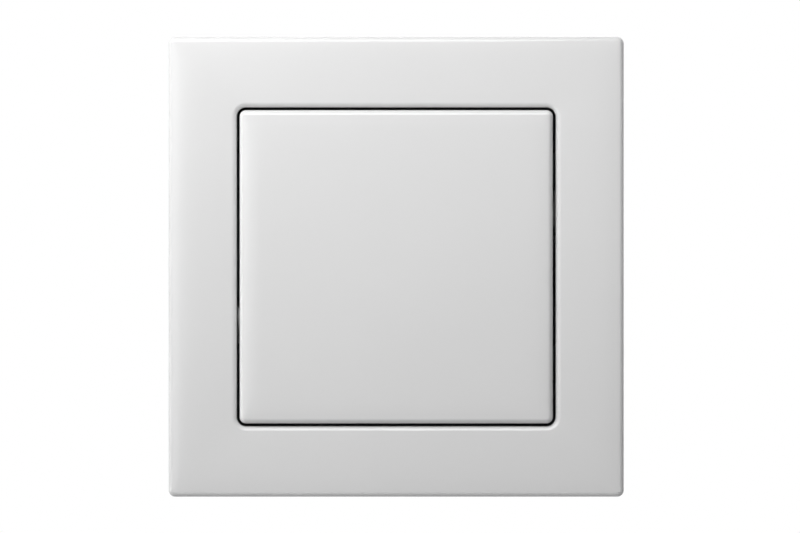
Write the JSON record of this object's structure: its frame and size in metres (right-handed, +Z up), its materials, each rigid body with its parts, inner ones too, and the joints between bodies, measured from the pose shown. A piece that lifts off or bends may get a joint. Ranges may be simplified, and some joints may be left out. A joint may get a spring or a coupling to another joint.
{
  "type": "two-way light switch",
  "caption": "Flush two-way rocker light switch: square glossy white cover frame and large rocker over a boxed mechanism with push-in terminals and spreading claws.",
  "frame": {"origin": "centre of the mechanism on the wall's face, where the ring's back lies", "axes": "X right, Z up, Y into the wall; the switch faces -Y with the rocker level, halfway between its two positions"},
  "size_m": [0.08, 0.0332, 0.0808],
  "materials": {
    "white_cover": "glossy pure white thermoplastic",
    "grey_moulding": "fine matt grey moulding",
    "pale_moulding": "fine matt pale moulding",
    "slippery_moulding": "smooth natural acetal",
    "orange_moulding": "smooth orange moulding",
    "galvanised_steel": "bright zinc plating",
    "spring_steel": "plain spring steel",
    "brass": "plain stamped brass",
    "copper": "plain stamped copper",
    "silver": "plain silver"
  },
  "bodies": {
    "base": {"cover_frame": "white_cover", "support_ring": "galvanised_steel", "mechanism_cover": "grey_moulding", "base_housing": "pale_moulding", "terminal_cover": "grey_moulding", "common_terminal": "brass", "traveller_terminal_top": "brass", "traveller_terminal_bottom": "brass", "fixed_contact_top": "silver", "fixed_contact_bottom": "silver", "clamp_spring_common": "spring_steel", "clamp_spring_top": "spring_steel", "clamp_spring_bottom": "spring_steel"},
    "rocker": {"rocker_cap": "white_cover", "rocker_yoke": "grey_moulding", "plunger_spring": "spring_steel"},
    "plunger": {"plunger": "slippery_moulding"},
    "bridge": {"contact_bridge": "copper", "moving_contact_top": "silver", "moving_contact_bottom": "silver"},
    "lever_common": {"release_lever_common": "orange_moulding"},
    "lever_top": {"release_lever_top": "orange_moulding"},
    "lever_bottom": {"release_lever_bottom": "orange_moulding"},
    "claw_screw_right": {"claw_screw_right": "galvanised_steel"},
    "claw_nut_right": {"claw_nut_right": "brass"},
    "claw_right": {"claw_right": "galvanised_steel"},
    "claw_screw_left": {"claw_screw_left": "galvanised_steel"},
    "claw_nut_left": {"claw_nut_left": "brass"},
    "claw_left": {"claw_left": "galvanised_steel"}
  },
  "joints": [
    {"name": "rocker_tilt", "type": "hinge", "parent": "base", "child": "rocker", "pos_m": [0, -0.0062, 0], "axis": [1, 0, 0], "range_deg": [-4, 4]},
    {"name": "plunger_slide", "type": "slide", "parent": "rocker", "child": "plunger", "axis": [0, -1, 0], "range_m": [0, 0.001], "stiffness_N_per_m": 900, "springref_m": -0.002, "deforming": ["plunger_spring"]},
    {"name": "bridge_rock", "type": "hinge", "parent": "base", "child": "bridge", "pos_m": [0, 0.0123, 0], "axis": [1, 0, 0], "range_deg": [-6, 6]},
    {"name": "lever_common_push", "type": "slide", "parent": "base", "child": "lever_common", "axis": [0, -1, 0], "range_m": [0, 0.0016], "stiffness_N_per_m": 1200, "springref_m": -0.001, "deforming": ["clamp_spring_common"]},
    {"name": "lever_top_push", "type": "slide", "parent": "base", "child": "lever_top", "axis": [0, -1, 0], "range_m": [0, 0.0016], "stiffness_N_per_m": 1200, "springref_m": -0.001, "deforming": ["clamp_spring_top"]},
    {"name": "lever_bottom_push", "type": "slide", "parent": "base", "child": "lever_bottom", "axis": [0, -1, 0], "range_m": [0, 0.0016], "stiffness_N_per_m": 1200, "springref_m": -0.001, "deforming": ["clamp_spring_bottom"]},
    {"name": "claw_nut_right_slide", "type": "slide", "parent": "base", "child": "claw_nut_right", "axis": [0, -1, 0], "range_m": [0, 0.001]},
    {"name": "claw_screw_right_turn", "type": "hinge", "parent": "base", "child": "claw_screw_right", "pos_m": [0.0243, 0, 0.0085], "axis": [0, 1, 0], "range_deg": [0, 720.1]},
    {"name": "claw_right_swing", "type": "hinge", "parent": "base", "child": "claw_right", "pos_m": [0.0209, 0.004, 0.0085], "axis": [0, 0, -1], "range_deg": [0, 18.1]},
    {"name": "claw_nut_left_slide", "type": "slide", "parent": "base", "child": "claw_nut_left", "axis": [0, -1, 0], "range_m": [0, 0.001]},
    {"name": "claw_screw_left_turn", "type": "hinge", "parent": "base", "child": "claw_screw_left", "pos_m": [-0.0243, 0, -0.0085], "axis": [0, 1, 0], "range_deg": [0, 720.1]},
    {"name": "claw_left_swing", "type": "hinge", "parent": "base", "child": "claw_left", "pos_m": [-0.0209, 0.004, -0.0085], "axis": [0, 0, 1], "range_deg": [0, 18.1]}
  ],
  "couplings": [
    {"joint": "bridge_rock", "follows": "rocker_tilt", "ratio": -1.5},
    {"joint": "claw_screw_right_turn", "follows": "claw_nut_right_slide", "rad_per_m": 12566},
    {"joint": "claw_right_swing", "follows": "claw_nut_right_slide", "rad_per_m": 314.16},
    {"joint": "claw_screw_left_turn", "follows": "claw_nut_left_slide", "rad_per_m": 12566},
    {"joint": "claw_left_swing", "follows": "claw_nut_left_slide", "rad_per_m": 314.16}
  ]
}
